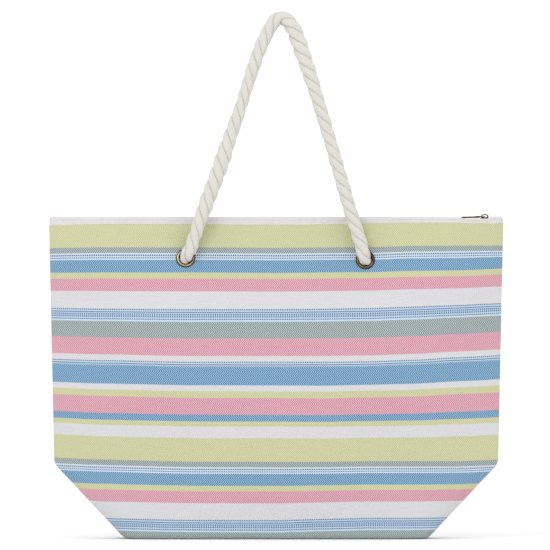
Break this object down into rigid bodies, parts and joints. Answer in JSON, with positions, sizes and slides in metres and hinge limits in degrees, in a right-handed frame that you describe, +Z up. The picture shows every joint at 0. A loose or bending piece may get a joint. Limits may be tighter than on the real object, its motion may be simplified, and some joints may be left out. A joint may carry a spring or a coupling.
{
  "type": "beach bag",
  "caption": "Wide zipped beach bag of striped canvas on a boxed base, with knotted rope handles through brass eyelets.",
  "frame": {"origin": "middle of the base, on the surface that the bag stands on", "axes": "+Z up, -Y out of the front panel, +X towards the closed end of the zip"},
  "size_m": [0.569, 0.114, 0.6613],
  "materials": {
    "striped_canvas": "herringbone-woven cotton canvas in green, grey, white, blue and pink stripes",
    "lining": "plain thin cotton-polyester weave",
    "zip_tape": "white woven zip tape",
    "zip_coil": "white nylon coil",
    "antique_brass": "antique brass, darkened in the recesses",
    "cotton_rope": "unbleached three-strand cotton rope"
  },
  "bodies": {
    "bag": {"outer_front": "striped_canvas", "outer_back": "striped_canvas", "lining_front": "lining", "lining_back": "lining", "zip_tape_front": "zip_tape", "zip_tape_back": "zip_tape", "zip_coil_front": "zip_coil", "zip_coil_back": "zip_coil", "zip_stop_closed": "antique_brass", "zip_stop_open": "antique_brass", "eyelet_front_left": "antique_brass", "eyelet_front_right": "antique_brass", "eyelet_back_left": "antique_brass", "eyelet_back_right": "antique_brass", "washer_front_left": "antique_brass", "washer_front_right": "antique_brass", "washer_back_left": "antique_brass", "washer_back_right": "antique_brass", "knot_front_left": "cotton_rope", "knot_front_right": "cotton_rope", "knot_back_left": "cotton_rope", "knot_back_right": "cotton_rope"},
    "slider": {"zip_slider": "antique_brass"},
    "pull": {"zip_pull": "antique_brass"},
    "front_handle": {"handle_front": "cotton_rope"},
    "back_handle": {"handle_back": "cotton_rope"}
  },
  "joints": [
    {"name": "zip_slide", "type": "slide", "parent": "bag", "child": "slider", "axis": [-1, 0, 0], "range_m": [0, 0.5]},
    {"name": "pull_flip", "type": "hinge", "parent": "slider", "child": "pull", "pos_m": [0.262, 0, 0.4037], "axis": [0, 1, 0], "range_deg": [0, 165]},
    {"name": "front_handle_swing", "type": "hinge", "parent": "bag", "child": "front_handle", "pos_m": [0, -0.03388, 0.353], "axis": [1, 0, 0], "range_deg": [0, 165]},
    {"name": "back_handle_swing", "type": "hinge", "parent": "bag", "child": "back_handle", "pos_m": [0, 0.03388, 0.353], "axis": [-1, 0, 0], "range_deg": [0, 165]}
  ]
}
